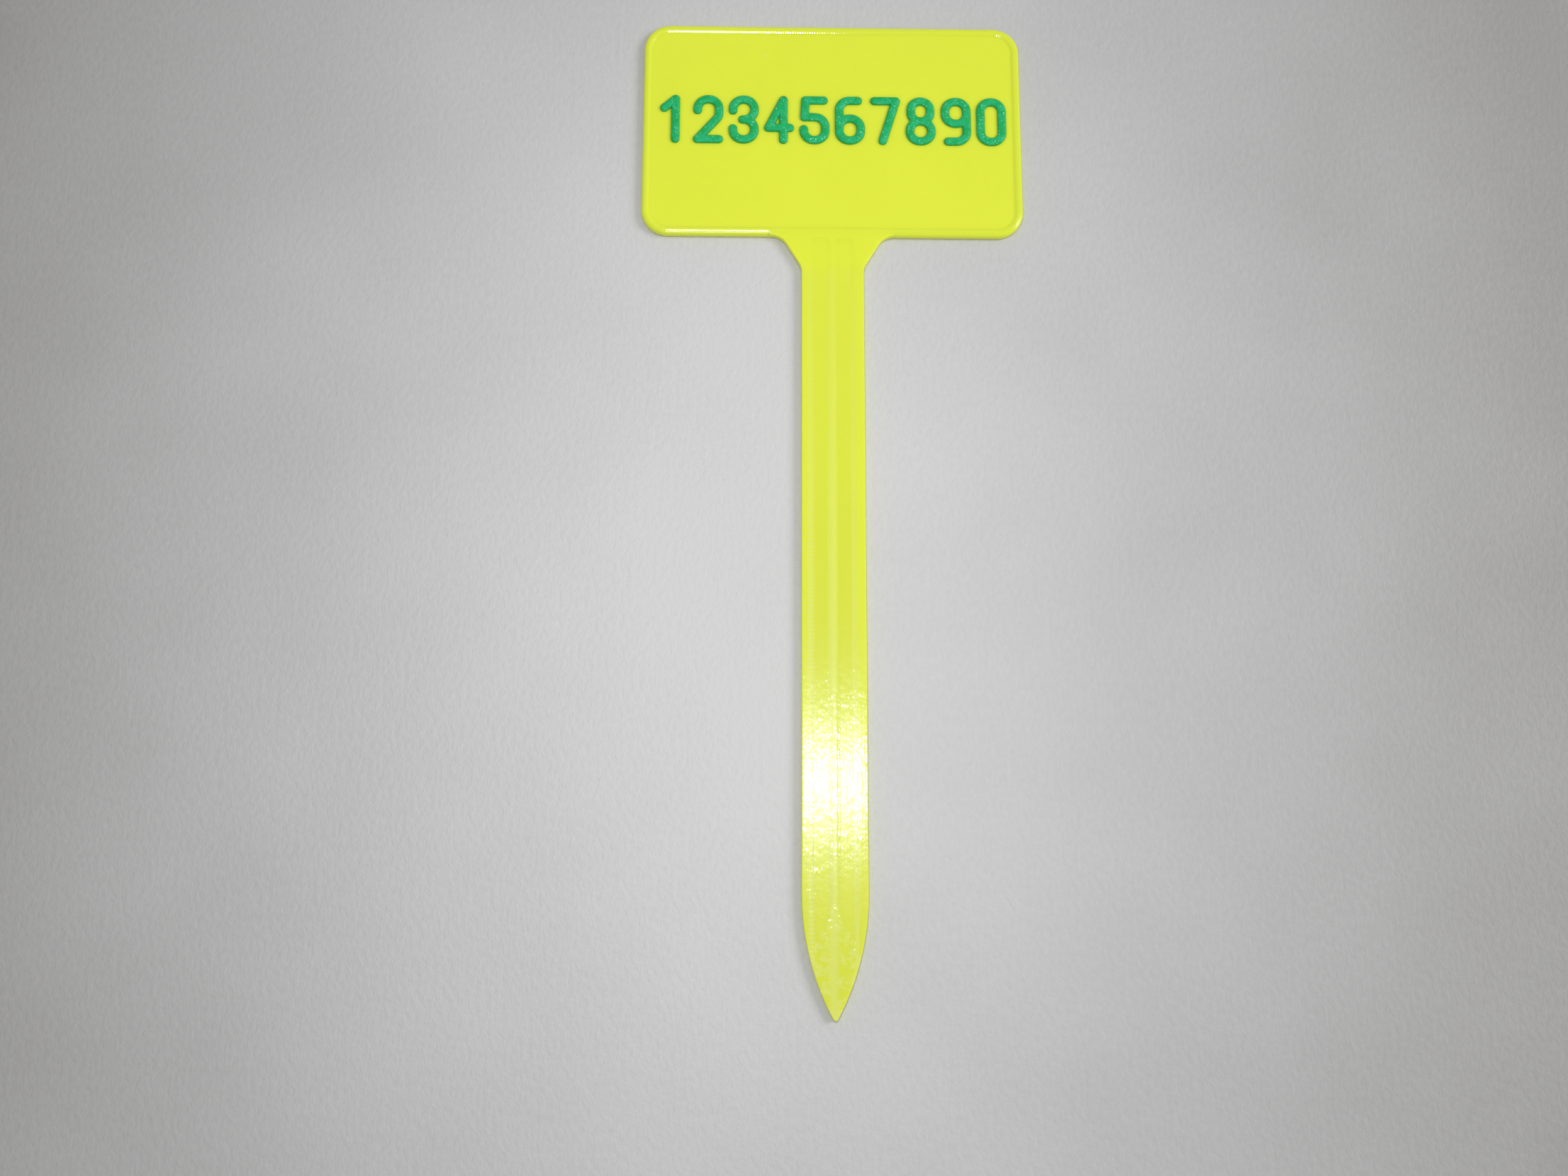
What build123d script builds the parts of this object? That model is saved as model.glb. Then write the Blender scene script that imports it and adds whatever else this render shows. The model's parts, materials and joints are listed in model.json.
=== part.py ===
# Plant label stake: a rimmed name plate on a fluted stem, with raised figures fused to the plate.
# It lies on its back. X runs across the plate, Y along the stem towards the plate, Z up out of the face.
# The origin is the middle of the footprint, on the surface that the stake lies on. Millimetres.
from build123d import *
from math import atan2, degrees, sqrt, tan
import os

# Plate: a thin panel inside a raised rim
plate_width = 60.0
plate_height = 36.0
corner_radius = 4.2
panel_thickness = 1.0
rim_width = 1.3
rim_relief = 0.2
rim_flank_run = 0.4
rim_outer_radius = 0.5
rim_crest_radius = 0.5
rim_inner_radius = 0.3

# Stem: flared neck, straight blade and ogive point
stem_length = 119.0
stem_width = 9.7
neck_width = 16.2
neck_length = 5.3
neck_radius = 2.9
neck_seam_width = 0.1
ogive_length = 17.8
point_radius = 0.4
stem_edge_radius = 0.2

# Flutes: two shallow grooves that leave a narrow rib between them and a border along each edge
flute_depth = 0.2
rib_width = 0.4
border_width = 1.3
flute_flank_run = 0.55
flute_floor_radius = 1.0
flute_top_gap = 0.5
flute_runout_start = 16.2
flute_runout_end = 9.0
flute_end_share = 0.12

# Figures: one row, drawn with a round pen
row_margin = 2.35
row_rise = 1.6
digit_height = 8.2
digit_gap = 0.9
stroke_width = 1.33
digit_relief = 0.4
digit_edge_bevel = 0.2
junction_radius = 0.15
bowl_share = 0.96
smooth_share = 0.1

# Cutting bodies pass the surface that they open by this much
overrun = 1.0

# Places that follow from the sizes
thickness = panel_thickness + rim_relief
plate_top_y = (plate_height + stem_length) / 2
plate_middle_y = plate_top_y - plate_height / 2
plate_bottom_y = plate_top_y - plate_height
point_y = plate_bottom_y - stem_length
ogive_y = point_y + ogive_length
half_stem = stem_width / 2
half_neck = neck_width / 2
blunt_run = ogive_length - point_radius
ogive_radius = (blunt_run**2 + half_stem**2 - point_radius**2) / (stem_width - 2 * point_radius)
sharp_y = ogive_y - sqrt(half_stem * (2 * ogive_radius - half_stem))
neck_turn = atan2(neck_length, half_neck - half_stem)
half_root = half_neck + neck_radius * tan(neck_turn / 2) + neck_seam_width
root_y = plate_bottom_y + rim_width

# Pen strokes of each figure: points as shares of the half width and half height of the figure's
# middle line, then the corner's radius as a share of a full bowl's
stroke_shares = {
    "1": [[(-0.8, 0.55, 0), (0.25, 1, 0), (0.25, -1, 0)]],
    "2": [[(-1, 0.45, 0), (-1, 1, 1), (1, 1, 1), (1, 0.15, 0.9), (-1, -1, 0), (1, -1, 0)]],
    "3": [
        [(-1, 0.45, 0), (-1, 1, 1), (1, 1, 1), (1, 0, 1), (-0.1, 0, 0)],
        [(-0.1, 0, 0), (1, 0, 1), (1, -1, 1), (-1, -1, 1), (-1, -0.45, 0)],
    ],
    "4": [[(0.4, 1, 0), (-1, -0.4, 0), (1, -0.4, 0)], [(0.4, 1, 0), (0.4, -1, 0)]],
    "5": [
        [(0.85, 1, 0), (-0.85, 1, 0), (-0.95, 0.15, 0), (1, 0.15, 1)]
        + [(1, -1, 1), (-1, -1, 1), (-1, -0.45, 0)]
    ],
    "6": [[(-1, -0.4, 0), (-1, 1, 1), (0.75, 1, 0)]],
    "7": [[(-1, 1, 0), (1, 1, 0), (-0.25, -1, 0)]],
    "8": [],
    "9": [[(1, 0.4, 0), (1, -1, 1), (-0.75, -1, 0)]],
    "0": [],
}

# Closed loops of each figure: middle height, half width, half height and corner radius, as shares
loop_shares = {
    "6": [(-0.45, 1, 0.55, 1)],
    "8": [(0.5, 0.9, 0.5, 0.9), (-0.5, 1, 0.5, 1)],
    "9": [(0.45, 1, 0.55, 1)],
    "0": [(0, 1, 1, 1)],
}

# Size of one figure, from the room that the plate gives the row
digit_pitch = (plate_width - 2 * row_margin + digit_gap) / len(stroke_shares)
digit_width = digit_pitch - digit_gap
pen_half_width = (digit_width - stroke_width) / 2
pen_half_height = (digit_height - stroke_width) / 2
bowl_radius = bowl_share * min(pen_half_width, pen_half_height / 2)


def half_width_at(y):
    """Half width of the stem at a station, along the ogive as along the straight blade."""
    run = max(ogive_y - y, 0)
    return half_stem - ogive_radius + sqrt(ogive_radius**2 - run**2)


def flute_section(y, inner_x, outer_x, share=1):
    """Section across one flute at a station, from the rib side to the border side."""
    floor_z = thickness - flute_depth * share
    run = flute_flank_run * share
    floor_radius = flute_floor_radius * share
    with BuildSketch(Plane.XZ.offset(-y)) as section:
        with BuildLine():
            FilletPolyline(
                (inner_x, thickness + overrun),
                (inner_x, thickness),
                (inner_x + run, floor_z),
                (outer_x - run, floor_z),
                (outer_x, thickness),
                (outer_x, thickness + overrun),
                radius=(0, 0, floor_radius, floor_radius, 0, 0),
                close=True,
            )
        make_face()
    return section.sketch


def pen_path(points):
    """Middle line of one stroke, with its round corners."""
    places = [(x * pen_half_width, y * pen_half_height) for x, y, _ in points]
    radii = [corner * bowl_radius for _, _, corner in points[1:-1]]
    with BuildLine() as path:
        if radii:
            FilletPolyline(*places, radius=radii)
        else:
            Line(*places)
    return path.wire()


def loop_junctions(edges):
    """Corners where the outline of a loop meets that of another loop or a stroke at an angle."""
    corners = ShapeList()
    for vertex in edges.vertices():
        leaving = [edge % 0 for edge in edges if edge.start_point() == vertex.center()]
        leaving += [-(edge % 1) for edge in edges if edge.end_point() == vertex.center()]
        if sum(leaving, Vector(0, 0)).length > smooth_share:
            corners.append(vertex)
    return corners


def figure_sketch(figure):
    """One figure, drawn about its own middle."""
    paths = [pen_path(points) for points in stroke_shares[figure]]
    loops = loop_shares.get(figure, [])
    with BuildSketch() as sketch:
        for side, mode in ((1, Mode.ADD), (-1, Mode.SUBTRACT)):
            for middle, half_width, half_height, corner in loops:
                with Locations((0, middle * pen_half_height)):
                    RectangleRounded(
                        2 * half_width * pen_half_width + side * stroke_width,
                        2 * half_height * pen_half_height + side * stroke_width,
                        corner * bowl_radius + side * stroke_width / 2,
                        mode=mode,
                    )
        for path in paths:
            for edge in path.edges():
                SlotArc(edge, stroke_width)
        corners = loop_junctions(sketch.edges())
        if loops and corners:
            fillet(corners, radius=junction_radius)
    return sketch.sketch


# One flute, as the body that it removes
flute_inner = rib_width / 2
flute_outer = half_stem - border_width
flute_top_y = plate_bottom_y - flute_top_gap
runout_y = point_y + flute_runout_start
fade_y = point_y + flute_runout_end
middle_y = (runout_y + fade_y) / 2
fade_outer = half_width_at(fade_y) - border_width
fade_inner = fade_outer - 2 * flute_flank_run * flute_end_share - rib_width / 2
end_inset = flute_flank_run * (1 - flute_end_share)
with BuildPart() as flute:
    loft(
        [
            flute_section(flute_top_y, flute_inner + end_inset, flute_outer - end_inset, flute_end_share),
            flute_section(flute_top_y - flute_flank_run, flute_inner, flute_outer),
            flute_section(runout_y, flute_inner, flute_outer),
            flute_section(
                middle_y,
                (flute_inner + fade_inner) / 2,
                half_width_at(middle_y) - border_width,
                (1 + flute_end_share) / 2,
            ),
            flute_section(fade_y, fade_inner, fade_outer, flute_end_share),
        ],
        ruled=True,
    )

# Stem with its neck, fluted on the front and rooted under the plate's rim
with BuildPart() as stem:
    with BuildSketch() as stem_outline:
        with BuildLine():
            Polyline(
                (0, root_y),
                (half_root, root_y),
                (half_root, plate_bottom_y),
                (half_neck, plate_bottom_y),
                (half_stem, plate_bottom_y - neck_length),
                (half_stem, ogive_y),
            )
            ogive = TangentArc((half_stem, ogive_y), (0, sharp_y), tangent=(0, -1))
            Line(ogive @ 1, (0, root_y))
        make_face()
        mirror(about=Plane.YZ)
        corners = stem_outline.vertices().sort_by(Axis.Y)
        fillet(corners[0], radius=point_radius)
        neck_corners = stem_outline.vertices().filter_by(
            lambda v: plate_bottom_y - neck_length - overrun < v.Y < plate_bottom_y + rim_width / 2
            and abs(v.X) < (half_neck + half_root) / 2
        )
        fillet(neck_corners, radius=neck_radius)
    extrude(amount=thickness)
    front_edges = stem.faces().sort_by(Axis.Z)[-1].edges()
    fillet(front_edges.filter_by(lambda e: e.center().Y < plate_bottom_y - rim_width / 2), stem_edge_radius)
    add(flute.part, mode=Mode.SUBTRACT)
    mirror(flute.part, about=Plane.YZ, mode=Mode.SUBTRACT)

# Stake body: the plate with its rim, and the stem, in one piece
with BuildPart() as stake_body:
    with BuildSketch():
        with Locations((0, plate_middle_y)):
            RectangleRounded(plate_width, plate_height, corner_radius)
    extrude(amount=thickness)
    fillet(stake_body.faces().sort_by(Axis.Z)[-1].edges(), radius=rim_outer_radius)
    add(stem.part)
    inset = rim_width - rim_flank_run
    with BuildSketch(Plane.XY.offset(thickness)):
        with Locations((0, plate_middle_y)):
            RectangleRounded(plate_width - 2 * inset, plate_height - 2 * inset, corner_radius - inset)
    extrude(amount=-rim_relief, taper=degrees(atan2(rim_flank_run, rim_relief)), mode=Mode.SUBTRACT)
    panel = stake_body.faces(Select.LAST).sort_by(Axis.Z)[0]
    fillet(panel.edges(), radius=rim_inner_radius)
    rim_top = stake_body.faces().filter_by(Axis.Z).sort_by(Axis.Z)[-1]
    fillet(rim_top.inner_wires().sort_by(Axis.Y)[-1].edges(), radius=rim_crest_radius)

os.makedirs("parts", exist_ok=True)
stake_body.part.label = "stake_body"
export_step(stake_body.part, "parts/stake_body.step")

# Figures: each one its own piece, seated on the panel
for place, figure in enumerate(stroke_shares):
    column_x = (place - (len(stroke_shares) - 1) / 2) * digit_pitch
    outline = figure_sketch(figure)
    with BuildPart() as digit:
        with BuildSketch(Plane.XY.offset(panel_thickness)):
            with Locations((column_x, plate_middle_y + row_rise)):
                add(outline)
        extrude(amount=digit_relief)
        chamfer(digit.faces().sort_by(Axis.Z)[-1].edges(), length=digit_edge_bevel)
    digit.part.label = f"digit_{figure}"
    export_step(digit.part, f"parts/digit_{figure}.step")
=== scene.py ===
import json
from math import pi, radians, sqrt
from types import SimpleNamespace

import bpy
from mathutils import Euler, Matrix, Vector


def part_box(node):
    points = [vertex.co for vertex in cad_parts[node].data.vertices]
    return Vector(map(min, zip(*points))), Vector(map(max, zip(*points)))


# Lengths below are in millimetres unless a name says otherwise
MM = 0.001

# Camera, as the photograph was taken
CAMERA_PLACE = (-11.64, -68.46, 244.43)
CAMERA_TURN_DEG = (12.394, -1.017, 0.144)
CAMERA_LENS = 38.41
SENSOR_WIDTH = 36.0
CLIP_START = 10.0

# Lamps: a small one beside the lens, a soft window on the right, and the room
FLASH_PLACE = (-28.0, -19.0, 244.0)
FLASH_SIZE = 9.0
FLASH_POWER_W = 0.20
WINDOW_PLACE = (700.0, 100.0, 550.0)
WINDOW_SIZE = 430.0
WINDOW_POWER_W = 3.4
ROOM_COLOUR = (1.0, 1.0, 1.0, 1.0)
ROOM_LEVEL = 0.45

# In the finishes, a NOISE is a scale per millimetre, a detail and a roughness. A FADE is the stretch of a
# value over which a share goes from 0 to 1 or back. A RAMP is such a stretch and the values at its ends.

# Table: a plain floor, darker away from its middle as the photo's light leaves it, with a soft grain
TABLE_SIZE = 2400.0
TABLE_GAP = 0.05
TABLE_CORNERS = ((-1, -1), (1, -1), (1, 1), (-1, 1))
TABLE_NEAR = (0.625, 0.622, 0.628, 1.0)
TABLE_FAR = (0.33, 0.325, 0.32, 1.0)
TABLE_MIDDLE = (-12.0, 0.0, 0.0)
TABLE_STRETCH = (1.0, 0.45, 1.0)
TABLE_FADE = (15.0, 132.0)
TABLE_ROUGHNESS = 0.55
GRAIN_STRETCH = (1.3, 0.8, 1.0)
GRAIN_NOISE = (1.0, 3.0, 0.6)
GRAIN_HEIGHT = 0.12
GRAIN_SHADE = 0.25
DRIFT_NOISE = (0.03, 3.0, 0.5)
DRIFT_SHADE = 0.3
NOISE_MIDDLE = 0.5

# Walls of both plastics: edges of the printed layers
LAYER_PITCH = 0.2
LAYER_HEIGHT = 0.006
WALL_FADE = (0.3, 0.7)

# Dots lie in the cells whose random value is above this
EMPTY_CELLS = 0.8

# Rays that a node sends to round an edge or to look for a valley
RAY_SAMPLES = 6

# Areas of the stake, by where a point lies and how far its face looks up. FRONT, BACK and FLAT go by that
# facing, which is 1 up and -1 down. Each BLUR is the width over which an area ends.
PLATE_HALF_Y = 18.0
CORNER_RADIUS = 4.2
RIM_WIDTH = 1.3
NECK_HALF_X = 10.0
FRONT_FADE = (0.1, 0.4)
BACK_FADE = (-0.9, -0.7)
FLAT_FADE = (0.85, 0.93)
PLATE_BLUR = 0.4
RIM_BLUR = 0.1
NECK_BLUR = 1.5
NECK_BEAD_LOSS = 0.8
STEM_START = 4.0
STEM_BLUR = 3.0
MOTTLE_TOP_Y = -61.5
MOTTLE_SLOPE = 1.9
MOTTLE_FADE = (-0.4, 0.6)

# Relief of the yellow: pitch of its printed lines, and of the turns where the raster meets an outline
LINE_PITCH = 0.443
TURN_PITCH = 0.39
TURN_HEIGHT = 0.0034
NECK_RASTER = 0.005
PANEL_RASTER = 0.0012
BACK_RASTER = 0.006
WAVY_NOISE = (0.9, 3.0, 0.5)
WAVY_HEIGHT = 0.012
STEM_LEAN = 0.075
WANDER_STRETCH = (1.0, 0.5, 1.0)
WANDER_NOISE = (0.8, 2.0, 0.5)
WANDER_WIDTH = 0.5
LINE_NOISE = (1.3, 2.0, 0.6)
LINE_HEIGHT_RAMP = (0.3, 0.7, 0.001, 0.006)
RIM_BEAD_FADE = (0.36, 0.7)
RIM_BEAD_HEIGHT = 0.115
BEAD_STRETCH = (1.5, 1.1, 1.0)
BEAD_NOISE = (1.0, 1.0, 0.5)
BEAD_PLACE_NOISE = (0.5, 2.0, 0.5)
BEAD_HEIGHT_RAMP = (0.4, 0.7, 0.015, 0.038)
GRIT_NOISE = (1.7, 1.0, 0.5)
GRIT_HEIGHT = 0.042
GRIT_EDGE_HEIGHT = 0.04
EDGE_ROUND = 0.08
DEEP_ROUND = 0.5
FLAT_EASE = 9.0

# Colours of the yellow, each with where it shows. FLOOR_FADE goes by height, from the flutes' floor up.
YELLOW = (0.79, 0.865, 0.050, 1.0)
# A deeper yellow: at random in patches, and as painted shade down the stem
YELLOW_DEEP_AND_SHADE = (0.72, 0.78, 0.044, 1.0)
DEEP_NOISE = (0.06, 2.0, 0.5)
DEEP_NOISE_FADE = (0.35, 0.65)
DEEP_NOISE_SHARE = 0.15
# Painted shade: the stem's yellow deepens downwards over this stretch
STEM_SHADE_FADE = (-68.0, 10.0)
# Painted shade: a darker yellow on the rim, strongest at its outer edge
YELLOW_RIM_SHADE = (0.70, 0.80, 0.050, 1.0)
RIM_SHADE_RAMP = (0.5, 1.0, 0.85, 0.25)
# Painted shade: a darker yellow on the flutes' floors between the bands, more so down the stem
YELLOW_FLOOR_SHADE = (0.73, 0.79, 0.048, 1.0)
FLOOR_FADE = (1.03, 1.2)
BAND_EDGE_FADE = (0.0, 0.2)
# A pale yellow: painted sheen in the stem's bands, and partly painted sheen in the blotches
YELLOW_PALE_AND_SHEEN = (0.79, 0.835, 0.30, 1.0)
# Pale blotches on the blade's end: partly a whitish matte surface and partly painted sheen
BLOTCH_NOISE = (1.0, 4.0, 0.7)
BLOTCH_RAMP = (0.46, 0.6, 0.0, 0.5)
# Painted sheen: a faint share of pale yellow over all of the stem
STEM_SHEEN_SHARE = 0.035
YELLOW_SPECK = (0.90, 0.92, 0.62, 1.0)
SPECK_DENSITY = 0.3
SPECK_RAMP = (0.02, 0.045, 1.0, 0.0)
# Painted shade and green bounce light in valleys and around the figures, by how closed in a point is
YELLOW_VALLEY_SHADE = (0.40, 0.70, 0.015, 1.0)
VALLEY_REACH = 0.7
VALLEY_FADE = (0.45, 1.0)
VALLEY_WALL_SHARE = 0.3
VALLEY_FRONT_SHARE = 0.7

# Painted sheen down the stem: pale bands where its gloss shows, with painted glints in fine dots along them;
# the middle, half width and share of each band. A band has its full share up to BAND_CORE half widths from
# its middle, and none from BAND_REACH half widths on.
STEM_SHEEN_BANDS = ((-3.45, 0.6, 0.5), (-0.2, 0.8, 0.5), (3.05, 0.45, 0.42))
BAND_CORE = 0.2
BAND_REACH = 1.3
SHEEN_LENGTH_FADE = (-38.0, 75.0)
STEM_GLINT_PITCH = 0.63
STEM_GLINT_RAMP = (-3.0, -2.0, 0.45, 0.0)
STEM_GLINT_LEVEL = 0.85

YELLOW_SURFACE = {
    "Roughness": 0.2,
    "Specular IOR Level": 0.2,
    "IOR": 1.46,
    "Subsurface Weight": 0.7,
    "Subsurface Radius": (1.0, 1.0, 0.4),
    "Subsurface Scale": 0.7 * MM,
    "Coat Weight": 0.55,
    "Coat Roughness": 0.1,
}

# Green plastic: a green with patches of painted teal sheen, sparse pale flakes that are partly painted
# glints, and fine facets that tilt the gloss
GREEN = (0.0, 0.42, 0.065, 1.0)
# Painted sheen: a teal green laid in random patches
GREEN_TEAL_SHEEN = (0.01, 0.48, 0.13, 1.0)
GREEN_NOISE = (0.7, 3.0, 0.5)
GREEN_FADE = (0.38, 0.62)
# Pale flakes: glitter in the plastic, whose colour is partly a painted glint
GREEN_FLAKE_GLINT = (0.30, 0.85, 0.72, 1.0)
FLAKE_DENSITY = 2.6
FLAKE_RAMP = (0.12, 0.32, 0.9, 0.0)
STROKE_NOISE = (1.8, 3.0, 0.55)
STROKE_HEIGHT = 0.03
STROKE_ROUND = 0.65
STROKE_BUMP = 0.8
FACET_DENSITY = 6.0
FACET_MIDDLE = (0.5, 0.5, 0.5)
FACET_TILT = 0.8
FACET_BASE_SHARE = 0.3

GREEN_SURFACE = {
    "Roughness": 0.38,
    "IOR": 1.75,
    "Specular Tint": (0.05, 0.7, 1.0, 1.0),
    "Subsurface Weight": 0.3,
    "Subsurface Radius": (0.3, 1.0, 0.5),
    "Subsurface Scale": 0.4 * MM,
    "Coat Weight": 0.6,
    "Coat Roughness": 0.22,
}

# The Mix node's two inputs and its output, by the kind of value
MIX_SOCKETS = {"RGBA": (6, 7, 2), "VECTOR": (4, 5, 1)}

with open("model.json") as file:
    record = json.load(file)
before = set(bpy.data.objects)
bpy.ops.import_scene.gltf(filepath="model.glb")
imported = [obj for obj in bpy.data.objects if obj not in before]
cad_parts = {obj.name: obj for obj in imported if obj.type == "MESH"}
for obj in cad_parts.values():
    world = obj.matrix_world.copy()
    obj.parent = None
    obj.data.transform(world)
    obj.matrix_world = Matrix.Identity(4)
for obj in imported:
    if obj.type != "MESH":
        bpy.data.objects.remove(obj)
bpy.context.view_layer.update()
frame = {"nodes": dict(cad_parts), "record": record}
body_low, body_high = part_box("stake_body")

# Plate's place in the frame: it is as wide as the body, and its top is the body's
PLATE_HALF_X = (body_high[0] - body_low[0]) / MM / 2
PLATE_MIDDLE_Y = body_high[1] / MM - PLATE_HALF_Y
PLATE_BOTTOM_Y = PLATE_MIDDLE_Y - PLATE_HALF_Y


class Nodes:
    """A material's node tree, with short calls for the nodes that the finishes use."""

    def __init__(self, name):
        self.material = bpy.data.materials.new(name)
        self.material.use_nodes = True
        self.tree = self.material.node_tree
        self.shader = self.tree.nodes["Principled BSDF"]

        # The point on the surface in the stake's own frame, in millimetres
        place = self.node("ShaderNodeTexCoord").outputs["Object"]
        self.where = self.vector("SCALE", {0: place, "Scale": 1 / MM})

    def set(self, socket, value):
        """Puts a plain value, or another node's output, on a socket."""
        if isinstance(value, bpy.types.NodeSocket):
            self.tree.links.new(value, socket)
        else:
            socket.default_value = value

    def surface(self, values):
        """Puts values or outputs on the shader's own sockets, by their names."""
        for name, value in values.items():
            self.set(self.shader.inputs[name], value)

    def node(self, kind, inputs=(), **settings):
        """A new node, with values or links on its inputs."""
        made = self.tree.nodes.new(kind)
        for name, value in settings.items():
            setattr(made, name, value)
        for key, value in dict(inputs).items():
            self.set(made.inputs[key], value)
        return made

    def math(self, operation, a, b=0.0):
        return self.node("ShaderNodeMath", {0: a, 1: b}, operation=operation).outputs[0]

    def less(self, a, b):
        return self.math("SUBTRACT", a, b)

    def plus(self, total, *others):
        for other in others:
            total = self.math("ADD", total, other)
        return total

    def times(self, product, *others):
        for other in others:
            product = self.math("MULTIPLY", product, other)
        return product

    def vector(self, operation, inputs, output="Vector"):
        return self.node("ShaderNodeVectorMath", inputs, operation=operation).outputs[output]

    def split(self, vector):
        """A vector's or colour's three parts."""
        return tuple(self.node("ShaderNodeSeparateXYZ", {0: vector}).outputs)

    def facing_up(self):
        """1 on a face that looks up out of the stake, 0 on its walls and -1 on its back."""
        return self.split(self.node("ShaderNodeTexCoord").outputs["Normal"])[2]

    def ramp(self, value, low, high, to_low=0.0, to_high=1.0, smooth=True):
        """value's stretch from low to high, as to_low to to_high, held at both ends."""
        made = self.node(
            "ShaderNodeMapRange",
            {"Value": value, "From Min": low, "From Max": high, "To Min": to_low, "To Max": to_high},
            interpolation_type="SMOOTHSTEP" if smooth else "LINEAR",
        )
        return made.outputs["Result"]

    def fall(self, value, low, high):
        """1 up to low and 0 from high on."""
        return self.ramp(value, low, high, 1.0, 0.0)

    def edge(self, share):
        """1 where a share is a half, and 0 where it is 0 or 1, because a half times a half is a quarter."""
        return self.times(share, self.less(1.0, share), 4.0)

    def noise(self, noise, stretch=None):
        """A soft random value from 0 to 1."""
        where = self.where
        if stretch is not None:
            where = self.vector("MULTIPLY", {0: where, 1: stretch})
        scale, detail, roughness = noise
        inputs = {"Vector": where, "Scale": scale, "Detail": detail, "Roughness": roughness}
        return self.node("ShaderNodeTexNoise", inputs).outputs["Fac"]

    def cells(self, density):
        """Random cells: each one's colour, and the distance from its middle."""
        return self.node("ShaderNodeTexVoronoi", {"Vector": self.where, "Scale": density}).outputs

    def dots(self, density, ramp):
        """Sparse small dots, each in the middle of a cell."""
        cells = self.cells(density)
        chosen = self.math("GREATER_THAN", self.split(cells["Color"])[0], EMPTY_CELLS)
        return self.times(self.ramp(cells["Distance"], *ramp), chosen)

    def wave(self, value, pitch):
        """A smooth ripple of that pitch along value, from -1 to 1."""
        return self.math("SINE", self.times(value, 2 * pi / pitch))

    def layers(self, z, facing):
        """Height of the printed layers' edges, which show on the walls."""
        on_wall = self.fall(self.math("ABSOLUTE", facing), *WALL_FADE)
        return self.times(on_wall, LAYER_HEIGHT, self.wave(z, LAYER_PITCH))

    def mix(self, share, a, b, kind="RGBA"):
        """a, with b over it by that share."""
        first, second, result = MIX_SOCKETS[kind]
        inputs = {0: share, first: a, second: b}
        return self.node("ShaderNodeMix", inputs, data_type=kind).outputs[result]

    def bump(self, height, normal=None, strength=1.0):
        """A normal, the face's own if none is given, turned by the slope of a height in millimetres."""
        inputs = {"Height": height, "Strength": strength, "Distance": MM}
        if normal is not None:
            inputs["Normal"] = normal
        return self.node("ShaderNodeBump", inputs).outputs["Normal"]

    def rounded(self, radius):
        """The face's normal, with edges rounded to that radius."""
        inputs = {"Radius": radius * MM}
        return self.node("ShaderNodeBevel", inputs, samples=RAY_SAMPLES).outputs["Normal"]

    def turned(self, normal, by):
        """The same normal, turned by a vector that is added to it."""
        return self.vector("NORMALIZE", {0: self.vector("ADD", {0: normal, 1: by})})

    def eased(self, normal, share):
        """The same normal, turned towards the stake's own up by a share of it."""
        up = self.node(
            "ShaderNodeVectorTransform",
            {0: (0.0, 0.0, 1.0)},
            vector_type="NORMAL",
            convert_from="OBJECT",
            convert_to="WORLD",
        ).outputs[0]
        return self.turned(normal, self.vector("SCALE", {0: up, "Scale": share}))


def plate_place(n, x, y):
    """Depth inside the plate's outline, which has round corners, and the place along its nearest side."""
    reach_x = n.less(n.math("ABSOLUTE", x), PLATE_HALF_X - CORNER_RADIUS)
    reach_y = n.less(n.math("ABSOLUTE", n.less(y, PLATE_MIDDLE_Y)), PLATE_HALF_Y - CORNER_RADIUS)
    past_x = n.math("MAXIMUM", reach_x, 0.0)
    past_y = n.math("MAXIMUM", reach_y, 0.0)
    round_part = n.math("SQRT", n.plus(n.times(past_x, past_x), n.times(past_y, past_y)))
    flat_part = n.math("MINIMUM", n.math("MAXIMUM", reach_x, reach_y), 0.0)
    depth = n.less(CORNER_RADIUS, n.plus(round_part, flat_part))
    on_end = n.math("GREATER_THAN", reach_y, reach_x)
    along = n.plus(n.times(x, on_end), n.times(y, n.less(1.0, on_end)))
    return depth, along


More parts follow.
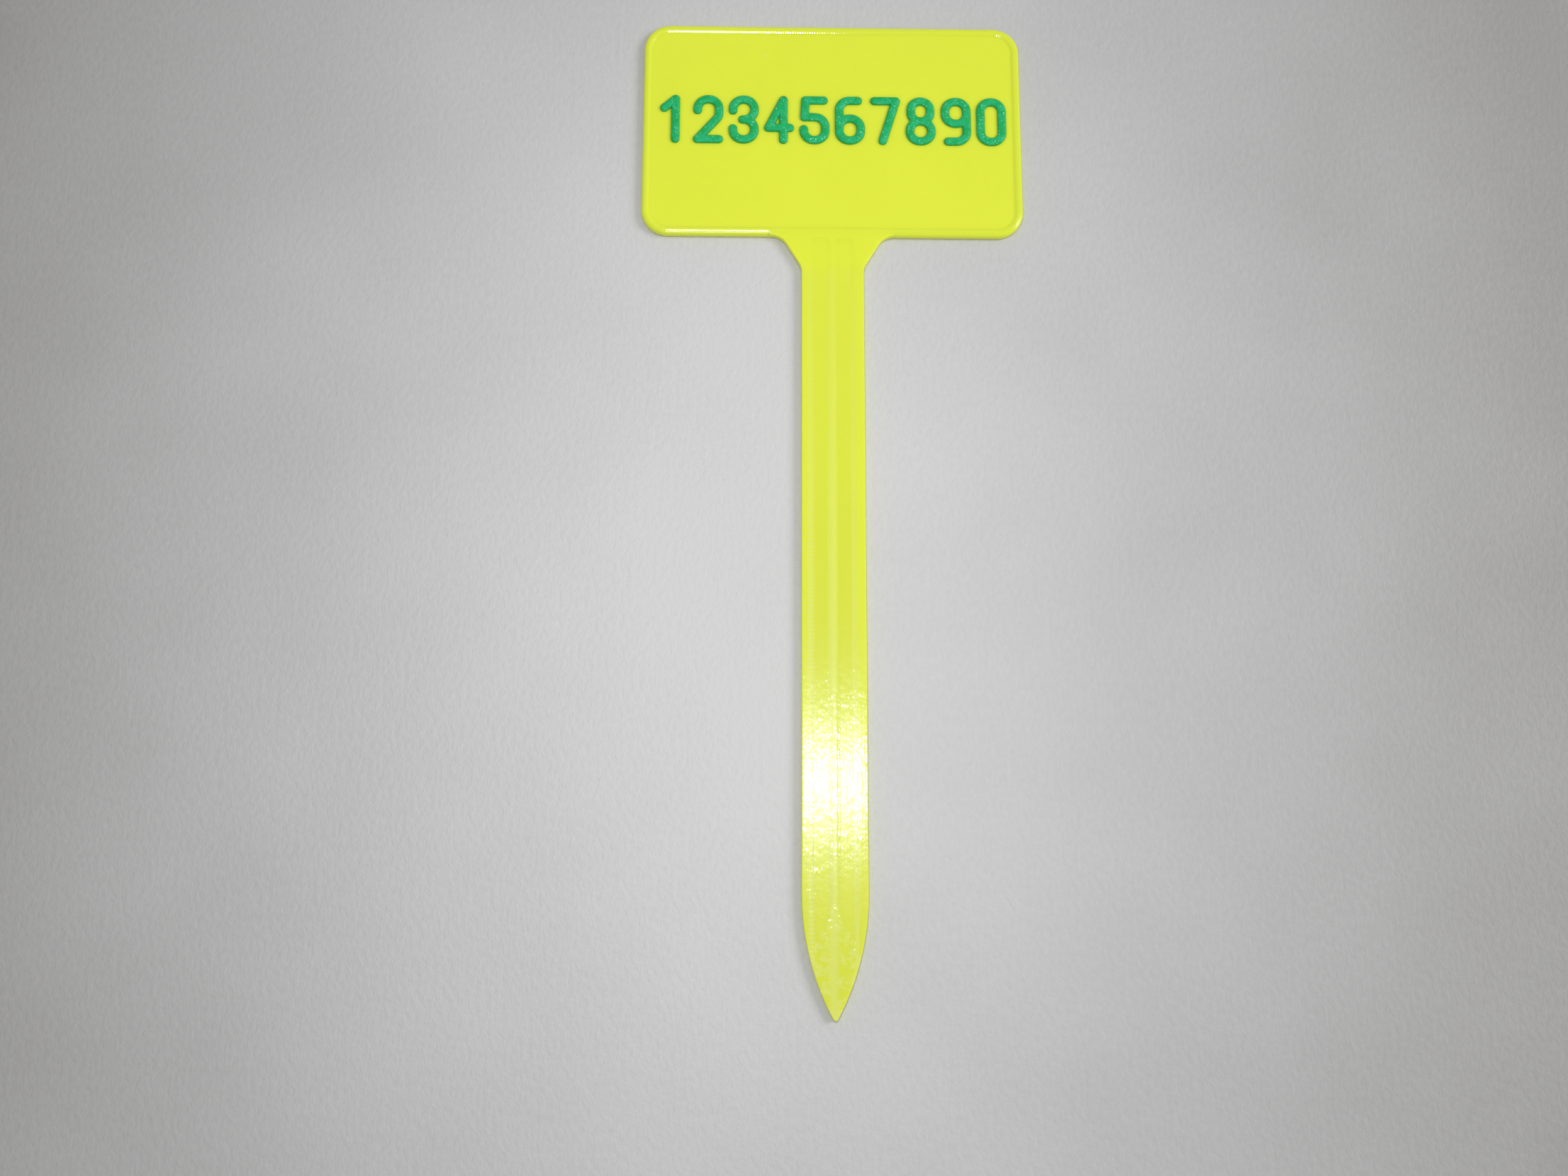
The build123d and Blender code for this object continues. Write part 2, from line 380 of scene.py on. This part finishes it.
def stake_spot(n):
    """What the yellow finish goes by: a point's place, how far its face looks up, and each area that it may
    lie in as a share, which is 1 in the area and 0 outside it. All areas but the back are on the front."""
    x, y, z = n.split(n.where)
    facing = n.facing_up()
    depth, along_rim = plate_place(n, x, y)
    front = n.ramp(facing, *FRONT_FADE)
    plate = n.ramp(y, PLATE_BOTTOM_Y - PLATE_BLUR / 2, PLATE_BOTTOM_Y + PLATE_BLUR / 2)
    off_plate = n.less(1.0, plate)
    rim = n.times(plate, n.fall(depth, RIM_WIDTH, RIM_WIDTH + RIM_BLUR), front)
    stem_top_y = PLATE_BOTTOM_Y - STEM_START
    stem = n.times(n.fall(y, stem_top_y - STEM_BLUR, stem_top_y), front)

    # The rim's bead is weaker where the rim crosses the neck
    low_rim = n.fall(y, PLATE_BOTTOM_Y + RIM_WIDTH, PLATE_BOTTOM_Y + 2 * RIM_WIDTH)
    over_neck = n.times(n.fall(n.math("ABSOLUTE", x), NECK_HALF_X - NECK_BLUR, NECK_HALF_X), low_rim)

    # The blade's end is mottled below an arrow-shaped line
    arrow_y = n.plus(n.times(n.math("ABSOLUTE", x), -MOTTLE_SLOPE), MOTTLE_TOP_Y)
    return SimpleNamespace(
        x=x,
        y=y,
        z=z,
        depth=depth,
        along_rim=along_rim,
        facing=facing,
        front=front,
        back=n.fall(facing, *BACK_FADE),
        panel=n.times(n.less(plate, rim), front),
        beaded=n.times(rim, n.less(1.0, n.times(over_neck, NECK_BEAD_LOSS))),
        neck=n.less(n.times(off_plate, front), stem),
        stem=stem,
        flat_stem=n.times(n.ramp(facing, *FLAT_FADE), off_plate),
        mottled=n.times(n.ramp(n.less(arrow_y, y), *MOTTLE_FADE), front),
    )


def soft_relief(n, spot):
    """Height that turns both the shading and the gloss: raster, waviness, the stem's lean and layers."""
    raster_height = n.plus(
        n.times(spot.neck, NECK_RASTER),
        n.times(spot.panel, PANEL_RASTER),
        n.times(spot.back, BACK_RASTER),
    )
    diagonal = n.times(n.plus(spot.x, spot.y), sqrt(0.5))
    raster = n.times(n.wave(diagonal, LINE_PITCH), raster_height)
    wavy = n.times(n.noise(WAVY_NOISE), WAVY_HEIGHT)
    lean = n.times(spot.x, spot.stem, STEM_LEAN)
    return n.plus(raster, wavy, lean, n.layers(spot.z, spot.facing))


def fine_relief(n, spot):
    """Heights that turn the gloss alone: the stem's lines and beads, the rim's bead and turns, and grit."""
    wander = n.times(n.noise(WANDER_NOISE, WANDER_STRETCH), WANDER_WIDTH)
    line_height = n.ramp(n.noise(LINE_NOISE), *LINE_HEIGHT_RAMP)
    stem_lines = n.times(spot.stem, line_height, n.wave(n.plus(spot.x, wander), LINE_PITCH))
    rim_bead = n.times(spot.beaded, RIM_BEAD_HEIGHT, n.ramp(spot.depth, *RIM_BEAD_FADE, smooth=False))
    turns = n.times(spot.beaded, TURN_HEIGHT, n.wave(spot.along_rim, TURN_PITCH))
    bead_height = n.ramp(n.noise(BEAD_PLACE_NOISE), *BEAD_HEIGHT_RAMP)
    beads = n.times(n.noise(BEAD_NOISE, BEAD_STRETCH), spot.stem, bead_height)
    grit_height = n.plus(
        n.times(spot.mottled, GRIT_HEIGHT),
        n.times(n.edge(spot.mottled), GRIT_EDGE_HEIGHT),
    )
    grit = n.times(n.noise(GRIT_NOISE), grit_height)
    return stem_lines, rim_bead, turns, beads, grit


def yellow_colour(n, spot):
    """Yellow: deeper at random, painted shade down the stem, on the rim and on the flutes' floors, painted
    sheen in pale bands and partly in pale blotches, pale specks, and painted shade and green bounce light in
    valleys.
    """
    noise_part = n.times(n.ramp(n.noise(DEEP_NOISE), *DEEP_NOISE_FADE), DEEP_NOISE_SHARE)
    # Painted shade: a deeper yellow down the stem
    stem_painted_shade = n.times(n.fall(spot.y, *STEM_SHADE_FADE), spot.front)
    colour = n.mix(n.math("MAXIMUM", noise_part, stem_painted_shade), YELLOW, YELLOW_DEEP_AND_SHADE)
    # Painted shade on the rim, most at its outer edge
    rim_shade_share = n.times(spot.beaded, n.ramp(spot.depth, *RIM_SHADE_RAMP))
    colour = n.mix(rim_shade_share, colour, YELLOW_RIM_SHADE)

    # Painted shade on the flutes' floors, between the bands, and then the bands' painted sheen
    sheen_bands = 0.0
    for middle, half_width, share in STEM_SHEEN_BANDS:
        off_middle = n.math("ABSOLUTE", n.less(spot.x, middle))
        band = n.ramp(off_middle, BAND_CORE * half_width, BAND_REACH * half_width, share, 0.0)
        sheen_bands = n.math("MAXIMUM", sheen_bands, band)
    downwards = n.fall(spot.y, *SHEEN_LENGTH_FADE)
    floor = n.times(n.fall(sheen_bands, *BAND_EDGE_FADE), n.fall(spot.z, *FLOOR_FADE), spot.stem)
    colour = n.mix(n.times(downwards, downwards, floor), colour, YELLOW_FLOOR_SHADE)
    # Painted glints: the bands' paleness is dotted along the stem on its left side
    dots = n.plus(n.times(n.wave(spot.y, STEM_GLINT_PITCH), n.ramp(spot.x, *STEM_GLINT_RAMP)), STEM_GLINT_LEVEL)
    sheen_bands = n.times(n.math("MAXIMUM", n.times(sheen_bands, dots, downwards), STEM_SHEEN_SHARE), spot.stem)
    # Pale blotches: partly a whitish matte surface and partly painted sheen
    blotches = n.times(n.ramp(n.noise(BLOTCH_NOISE), *BLOTCH_RAMP), spot.mottled)
    colour = n.mix(n.math("MAXIMUM", blotches, sheen_bands), colour, YELLOW_PALE_AND_SHEEN)
    colour = n.mix(n.times(n.dots(SPECK_DENSITY, SPECK_RAMP), spot.front), colour, YELLOW_SPECK)

    # Painted shade and green bounce light where a point is closed in
    reach = {"Distance": VALLEY_REACH * MM}
    openness = n.node("ShaderNodeAmbientOcclusion", reach, samples=RAY_SAMPLES).outputs["AO"]
    valley_shade_share = n.plus(n.times(spot.front, VALLEY_FRONT_SHARE), VALLEY_WALL_SHARE)
    return n.mix(n.times(n.fall(openness, *VALLEY_FADE), valley_shade_share), colour, YELLOW_VALLEY_SHADE)


def yellow_plastic():
    """Printed yellow plastic: lines down the stem and along the rim, a diagonal raster on the flats."""
    n = Nodes("yellow_plastic")
    spot = stake_spot(n)
    soft_height = soft_relief(n, spot)
    height = n.plus(soft_height, *fine_relief(n, spot))

    # Off the plate, faces that look nearly up are eased towards it, which softens the flutes' flanks
    ease = n.times(spot.flat_stem, FLAT_EASE)
    n.surface(YELLOW_SURFACE)
    n.surface({
        "Base Color": yellow_colour(n, spot),
        "Normal": n.bump(soft_height, n.eased(n.rounded(DEEP_ROUND), ease)),
        "Coat Normal": n.bump(height, n.eased(n.rounded(EDGE_ROUND), ease)),
    })
    return n.material


def green_plastic():
    """Printed green plastic: round strokes with patches of painted teal sheen, pale flakes that are partly
    painted glints, and fine facets in them.
    """
    n = Nodes("green_plastic")
    # Painted sheen: teal patches at random over the green
    colour = n.mix(n.ramp(n.noise(GREEN_NOISE), *GREEN_FADE), GREEN, GREEN_TEAL_SHEEN)
    wavy = n.times(n.noise(STROKE_NOISE), STROKE_HEIGHT)
    height = n.plus(wavy, n.layers(n.split(n.where)[2], n.facing_up()))

    smooth = n.rounded(STROKE_ROUND)
    tilt = n.vector("SUBTRACT", {0: n.cells(FACET_DENSITY)["Color"], 1: FACET_MIDDLE})
    faceted = n.turned(smooth, n.vector("SCALE", {0: tilt, "Scale": FACET_TILT}))
    partly_faceted = n.mix(FACET_BASE_SHARE, smooth, faceted, "VECTOR")
    n.surface(GREEN_SURFACE)
    n.surface({
        # Pale flakes, partly painted glints
        "Base Color": n.mix(n.dots(FLAKE_DENSITY, FLAKE_RAMP), colour, GREEN_FLAKE_GLINT),
        "Normal": n.bump(height, partly_faceted, STROKE_BUMP),
        "Coat Normal": n.bump(height, faceted, STROKE_BUMP),
    })
    return n.material


def table_top():
    """Pale matte table, darker away from the stake."""
    n = Nodes("table_top")
    off_middle = n.vector("SUBTRACT", {0: n.where, 1: TABLE_MIDDLE})
    off_middle = n.vector("MULTIPLY", {0: off_middle, 1: TABLE_STRETCH})
    fade = n.ramp(n.vector("LENGTH", {0: off_middle}, "Value"), *TABLE_FADE, smooth=False)
    grain = n.noise(GRAIN_NOISE, GRAIN_STRETCH)
    drift = n.times(n.less(n.noise(DRIFT_NOISE), NOISE_MIDDLE), DRIFT_SHADE)
    shade = n.plus(drift, n.times(n.less(grain, NOISE_MIDDLE), GRAIN_SHADE))
    n.surface({
        "Roughness": TABLE_ROUGHNESS,
        "Base Color": n.mix(n.plus(fade, shade), TABLE_NEAR, TABLE_FAR),
        "Normal": n.bump(n.times(grain, GRAIN_HEIGHT)),
    })
    return n.material


def make_table():
    half = TABLE_SIZE * MM / 2
    corners = [(side_x * half, side_y * half, -TABLE_GAP * MM) for side_x, side_y in TABLE_CORNERS]
    mesh = bpy.data.meshes.new("table")
    mesh.from_pydata(corners, [], [(0, 1, 2, 3)])
    mesh.materials.append(table_top())
    table = bpy.data.objects.new("table", mesh)
    bpy.context.scene.collection.objects.link(table)


def make_camera():
    data = bpy.data.cameras.new("camera")
    data.lens = CAMERA_LENS
    data.sensor_width = SENSOR_WIDTH
    data.clip_start = CLIP_START * MM
    camera = bpy.data.objects.new("camera", data)
    camera.location = Vector(CAMERA_PLACE) * MM
    camera.rotation_euler = Euler([radians(turn) for turn in CAMERA_TURN_DEG])
    bpy.context.scene.collection.objects.link(camera)
    bpy.context.scene.camera = camera


def make_lamp(name, place, size, power_w):
    """A round lamp that faces the middle of the stake."""
    data = bpy.data.lights.new(name, "AREA")
    data.shape = "DISK"
    data.size = size * MM
    data.energy = power_w
    lamp = bpy.data.objects.new(name, data)
    lamp.location = Vector(place) * MM
    lamp.rotation_euler = (-lamp.location).to_track_quat("-Z", "Y").to_euler()
    bpy.context.scene.collection.objects.link(lamp)


def make_room():
    """White light from all round."""
    world = bpy.data.worlds.new("room")
    world.use_nodes = True
    room = world.node_tree.nodes["Background"]
    room.inputs["Color"].default_value = ROOM_COLOUR
    room.inputs["Strength"].default_value = ROOM_LEVEL
    bpy.context.scene.world = world


finishes = {"yellow_plastic": yellow_plastic(), "green_plastic": green_plastic()}
for subpart in frame["record"]["subparts"]:
    mesh = frame["nodes"][subpart["node"]].data
    mesh.materials.clear()
    mesh.materials.append(finishes[subpart["material_slot"]])

make_table()
make_camera()
make_lamp("flash", FLASH_PLACE, FLASH_SIZE, FLASH_POWER_W)
make_lamp("window", WINDOW_PLACE, WINDOW_SIZE, WINDOW_POWER_W)
make_room()
bpy.context.scene.view_settings.view_transform = "Standard"
